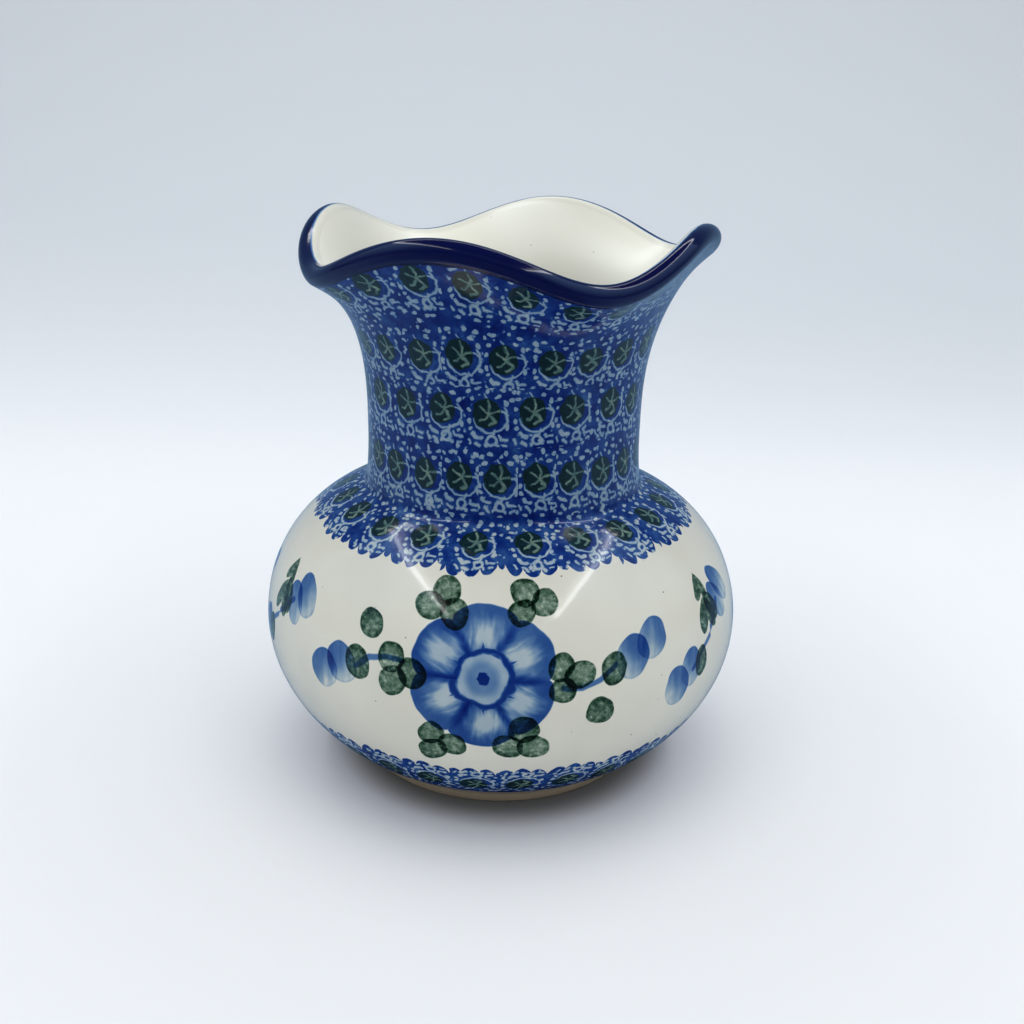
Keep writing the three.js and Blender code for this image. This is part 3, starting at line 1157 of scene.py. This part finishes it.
def rim_material(colours):
    material, tree, shader = new_material("cobalt rim glaze")
    place, up = glaze_place(tree), up_the_wall(tree)
    blue, green = stamped_rows(tree, place, up)
    waver = noise(place, 0.12, 2.0) - 0.5
    past_start = up + waver * 0.9 - LIP_BAND_START
    past_end = up + waver * 0.4 - LIP_BAND_END
    drawn = past_start.inside(0.3, 0.3)
    band = past_start.ramp(-0.2, 0.2) * past_end.ramp(0.2, -0.2)
    fringe = past_end.ramp(-0.2, 0.0) * past_end.ramp(0.7, 0.1)
    # The mouth's cream is lighter as painted light, and darker far down as painted shade
    inside = up.ramp(LIP_BAND_END, LIP_BAND_END + 4.0)
    deep = up.ramp(LIP_BAND_END + 7.0, LIP_BAND_END + 24.0)
    # Painted shade darkens the printed wall below the lip band
    finish_glaze(
        tree, shader, colours, place, blue * drawn + fringe * 0.8, green * drawn, band,
        NECK_PAINTED_SHADE * drawn, inside, deep)
    return material


CLAY_RING_DEPTH = 0.012
CLAY_GRAIN_DEPTH = 0.05


def clay_material(colours):
    """Bare fired clay with the fine rings of the turning tool and small dark grains."""
    material, tree, shader = new_material("bare stoneware")
    place = glaze_place(tree)
    height = xyz(tree, place)[2]
    grain = noise(place, 2.2, 3.0, 0.7)
    cloud = noise(place, 0.12, 2.0)
    shade = 0.78 + grain * 0.2 + cloud * 0.22
    # Darker towards the top of the foot, just below the glaze line
    top_darkening = height.ramp(2.2, 3.3) * 0.3
    lit = shade * (1 - top_darkening)
    plug(tree, lit.scaled(colours.clay), shader.inputs["Base Color"])
    plug(tree, 0.7 + grain * 0.25, shader.inputs["Roughness"])
    rings = (height * 9.0 + cloud * 3.0).sin() * CLAY_RING_DEPTH
    bumped(tree, shader, 0.8, rings + grain * CLAY_GRAIN_DEPTH)
    return material


# Studio

# The camera's place and its angles in radians. Its pitch is down, and its roll is clockwise.
CAMERA_PLACE = Vector((0.0, -288.7, 166.0)) * MM
CAMERA_PITCH = 0.3437
CAMERA_YAW = 0.0083
CAMERA_ROLL = 0.0199
FOCAL_SHARE = 1200 / 1024
SENSOR_WIDTH = 36.0


def add_camera(scene):
    """The camera at the photo's viewing angle."""
    forward = Vector((
        math.sin(CAMERA_YAW) * math.cos(CAMERA_PITCH),
        math.cos(CAMERA_YAW) * math.cos(CAMERA_PITCH),
        -math.sin(CAMERA_PITCH),
    ))
    right = Vector((math.cos(CAMERA_YAW), -math.sin(CAMERA_YAW), 0))
    up = right.cross(forward)
    turned_right = right * math.cos(CAMERA_ROLL) + up * math.sin(CAMERA_ROLL)
    turned_up = up * math.cos(CAMERA_ROLL) - right * math.sin(CAMERA_ROLL)
    data = bpy.data.cameras.new("camera")
    data.sensor_width = SENSOR_WIDTH
    data.lens = SENSOR_WIDTH * FOCAL_SHARE
    data.clip_start = 0.01
    data.clip_end = 20
    camera = add_object(scene, "camera", data)
    axes = Matrix((turned_right, turned_up, -forward)).transposed().to_4x4()
    camera.matrix_world = Matrix.Translation(CAMERA_PLACE) @ axes
    scene.camera = camera


# The paper's size, where it falls off to the far colour as painted shade, and the painted shadow that
# gathers at the foot
SWEEP_HALF_WIDTH = 1.6
SWEEP_FRONT = -1.6
SWEEP_BEND_START = 0.28
SWEEP_BEND_RADIUS = 0.55
SWEEP_TOP = 1.5
PAPER_SHADE_START = 0.15
PAPER_SHADE_END = 0.54
PAPER_SHADE_SLANT = 0.12
# Painted shadow round the foot: its centre, its outer edge, its core and its depth
FOOT_SHADOW_PLACE = (0.001, -0.003)
FOOT_SHADOW_EDGE = 0.045
FOOT_SHADOW_CORE = 0.034
FOOT_SHADOW_DEPTH = 0.66


def seen_or_mirrored(tree, across, away, tint, front, side):
    """White for what is seen or lights the vase, and a tint for reflections, weaker in front."""
    mirrored = Value(tree, add_node(tree, "ShaderNodeLightPath").outputs["Is Glossy Ray"])
    from_front = arc_tangent(abs(across), 0 - away)
    share = from_front.ramp(math.radians(30), math.radians(75)) * (side - front) + front
    change = share.scaled(tint).vector("SUBTRACT", (1, 1, 1))
    return mirrored.scaled(change).vector("ADD", (1, 1, 1))


def add_sweep(scene, studio):
    """Paper floor that bends up into the backdrop."""
    line = [(SWEEP_FRONT, 0.0)]
    for step in range(33):
        turn = math.pi / 2 * step / 32
        line.append((SWEEP_BEND_START + SWEEP_BEND_RADIUS * math.sin(turn),
                     SWEEP_BEND_RADIUS * (1 - math.cos(turn))))
    line.append((line[-1][0], SWEEP_TOP))
    vertices = [(x, y, z) for y, z in line for x in (-SWEEP_HALF_WIDTH, SWEEP_HALF_WIDTH)]
    faces = [(2 * i, 2 * i + 1, 2 * i + 3, 2 * i + 2) for i in range(len(line) - 1)]
    mesh = bpy.data.meshes.new("paper_sweep")
    mesh.from_pydata(vertices, [], faces)
    mesh.shade_smooth()
    material, tree, shader = new_material("pale paper")
    across, away, _ = xyz(tree, add_node(tree, "ShaderNodeTexCoord").outputs["Object"])
    # Painted shade: the paper darkens towards the back, and sooner on the right, as the light falls off
    slanted = away + across * PAPER_SHADE_SLANT
    paper_shade = slanted.ramp(PAPER_SHADE_START, PAPER_SHADE_END)
    paper = mixed(tree, paper_shade, opaque(studio.paper), opaque(studio.shaded_paper))
    tint = seen_or_mirrored(
        tree, across, away, studio.mirror_tint, studio.front_paper, studio.side_paper)
    # Painted shadow: the paper's colour is darker in a ring round the foot
    foot_shadow = hypotenuse(across - FOOT_SHADOW_PLACE[0], away - FOOT_SHADOW_PLACE[1])
    foot_shadow = foot_shadow.ramp(FOOT_SHADOW_EDGE, FOOT_SHADOW_CORE) * FOOT_SHADOW_DEPTH
    shown = (1 - foot_shadow).scaled(tint.vector("MULTIPLY", paper))
    plug(tree, shown, shader.inputs["Base Color"])
    shader.inputs["Roughness"].default_value = 0.9
    shader.inputs["Specular IOR Level"].default_value = 0.1
    mesh.materials.append(material)
    sweep = add_object(scene, "paper_sweep", mesh)


# The tent's opening: its height, and its edges in shares of that
CARD_HEIGHT = 0.75
CARD_SIDE = 0.53
CARD_FRONT = -1.0
CARD_BACK = 0.58
STRIP_WIDTH = 0.075


def add_card(scene, studio):
    """The dim opening over the tent, which only reflections see."""
    x, front, back = (CARD_HEIGHT * share for share in (CARD_SIDE, CARD_FRONT, CARD_BACK))
    mesh = bpy.data.meshes.new("overhead_card")
    corners = ((-x, front), (-x, back), (x, back), (x, front))
    mesh.from_pydata([(*corner, CARD_HEIGHT) for corner in corners], [], [(0, 1, 2, 3)])
    material = bpy.data.materials.new("dim card")
    material.use_nodes = True
    tree = material.node_tree
    tree.nodes.clear()
    glow = add_node(tree, "ShaderNodeEmission", {"Strength": studio.card_grey})
    out = tree.nodes.new("ShaderNodeOutputMaterial")
    tree.links.new(glow.outputs[0], out.inputs["Surface"])
    mesh.materials.append(material)
    card = add_object(scene, "overhead_card", mesh)
    card.visible_camera = False
    card.visible_diffuse = False
    card.visible_shadow = False


def add_strip(scene, name, centre, length_x, length_y, strength):
    """A lamp strip that faces down. Its power gives it a brightness, whatever its size."""
    data = bpy.data.lights.new(name, "AREA")
    data.shape = "RECTANGLE"
    data.size = length_x
    data.size_y = length_y
    data.energy = strength * math.pi * length_x * length_y
    lamp = add_object(scene, name, data)
    lamp.location = centre
    return lamp


def add_lamps(scene, studio):
    """Strips along the edges of the tent's opening."""
    x, front, back = (CARD_HEIGHT * share for share in (CARD_SIDE, CARD_FRONT, CARD_BACK))
    middle, depth = (front + back) / 2, back - front
    strips = (
        ("left", (-x, middle, CARD_HEIGHT), STRIP_WIDTH, depth),
        ("right", (x, middle, CARD_HEIGHT), STRIP_WIDTH, depth),
        ("back", (0, back, CARD_HEIGHT), 2 * x, STRIP_WIDTH),
    )
    for side, centre, length_x, length_y in strips:
        add_strip(scene, side + " strip", centre, length_x, length_y, studio.strip_strength)
        gloss = add_strip(scene, side + " gloss", centre, length_x, length_y, studio.strip_gloss)
        gloss.data.color = studio.strip_tint
        gloss.visible_diffuse = False


def add_sky(scene, studio):
    world = bpy.data.worlds.new("studio")
    world.use_nodes = True
    tree = world.node_tree
    background = tree.nodes["Background"]
    across, away, up = xyz(tree, add_node(tree, "ShaderNodeTexCoord").outputs["Generated"])
    strength = most(up, 0.0) * (studio.sky_high - studio.sky_low) + studio.sky_low
    tint = seen_or_mirrored(tree, across, away, studio.mirror_tint, studio.front_sky, studio.side_sky)
    plug(tree, tint.vector("MULTIPLY", studio.sky), background.inputs["Color"])
    plug(tree, strength, background.inputs["Strength"])
    scene.world = world


# Operators

def settle(piece, node):
    """Attaches a piece to the root body and hides the CAD part of its node."""
    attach(piece, "root")
    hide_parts(node)


class VASE_OT_foot_ring(bpy.types.Operator):
    """Make the ring of bare clay that the vase stands on"""

    bl_idname = "vase.foot_ring"
    bl_label = "Foot Ring"

    def execute(self, context):
        scene = context.scene
        outline, start = foot_outline(scene.vase_shape)
        material = clay_material(scene.vase_colours)
        piece = throw(scene, "turned_foot", outline, start, WHOLE_OUTLINE, material, strips=1)
        settle(piece, "foot_ring")
        return {"FINISHED"}


class VASE_OT_belly(bpy.types.Operator):
    """Make the round belly with its floor and its stamped flowers"""

    bl_idname = "vase.belly"
    bl_label = "Belly"

    def execute(self, context):
        scene = context.scene
        outline, glaze_line = belly_outline(scene.vase_shape)
        material = belly_material(scene.vase_colours)
        piece = throw(scene, "stamped_belly", outline, -glaze_line, BELLY_OUTSIDE, material)
        settle(piece, "belly")
        return {"FINISHED"}


class VASE_OT_neck(bpy.types.Operator):
    """Make the neck with its rows of stamped dots"""

    bl_idname = "vase.neck"
    bl_label = "Neck"

    def execute(self, context):
        scene = context.scene
        material = neck_material(scene.vase_colours)
        start = crease_length(scene.vase_shape)
        outline = neck_outline(scene.vase_shape)
        piece = throw(scene, "stamped_neck", outline, start, NECK_OUTSIDE, material)
        settle(piece, "neck")
        return {"FINISHED"}


class VASE_OT_ruffled_rim(bpy.types.Operator):
    """Make the flared mouth with its waves and its rolled cobalt lip"""

    bl_idname = "vase.ruffled_rim"
    bl_label = "Ruffled Rim"

    def execute(self, context):
        scene = context.scene
        material = rim_material(scene.vase_colours)
        start = seam_length(scene.vase_shape)
        outline = rim_outline(scene.vase_shape)
        piece = throw(scene, "ruffled_mouth", outline, start, RIM_OUTSIDE, material)
        settle(piece, "ruffled_rim")
        return {"FINISHED"}


class VASE_OT_studio(bpy.types.Operator):
    """Make the paper sweep, the soft studio light and the camera"""

    bl_idname = "vase.studio"
    bl_label = "Studio"

    def execute(self, context):
        scene = context.scene
        studio = scene.vase_studio
        scene.view_settings.view_transform = "Standard"
        add_camera(scene)
        add_sweep(scene, studio)
        add_card(scene, studio)
        add_lamps(scene, studio)
        add_sky(scene, studio)
        return {"FINISHED"}


class VASE_PT_sidebar(bpy.types.Panel):
    """Lists what the vase is made of"""

    bl_label = "Ruffled Vase"
    bl_idname = "VASE_PT_sidebar"
    bl_space_type = "VIEW_3D"
    bl_region_type = "UI"
    bl_category = "Vase"

    def draw(self, context):
        for operator in PIECES:
            self.layout.operator(operator.bl_idname)
        for group in (context.scene.vase_shape, context.scene.vase_mouth,
                      context.scene.vase_colours, context.scene.vase_studio):
            box = self.layout.box()
            for label in group.__annotations__:
                box.prop(group, label)


PIECES = (VASE_OT_foot_ring, VASE_OT_belly, VASE_OT_neck, VASE_OT_ruffled_rim, VASE_OT_studio)
SETTINGS = (
    ("vase_shape", VaseShape), ("vase_mouth", MouthWaves),
    ("vase_colours", VaseColours), ("vase_studio", VaseStudio),
)


def register():
    for label, group in SETTINGS:
        bpy.utils.register_class(group)
        setattr(bpy.types.Scene, label, bpy.props.PointerProperty(type=group))
    for kind in (*PIECES, VASE_PT_sidebar):
        bpy.utils.register_class(kind)


def unregister():
    for kind in (VASE_PT_sidebar, *reversed(PIECES)):
        bpy.utils.unregister_class(kind)
    for label, group in reversed(SETTINGS):
        delattr(bpy.types.Scene, label)
        bpy.utils.unregister_class(group)


def main():
    register()
    bpy.ops.vase.foot_ring()
    bpy.ops.vase.belly()
    bpy.ops.vase.neck()
    bpy.ops.vase.ruffled_rim()
    bpy.ops.vase.studio()


if __name__ == "__main__":
    main()
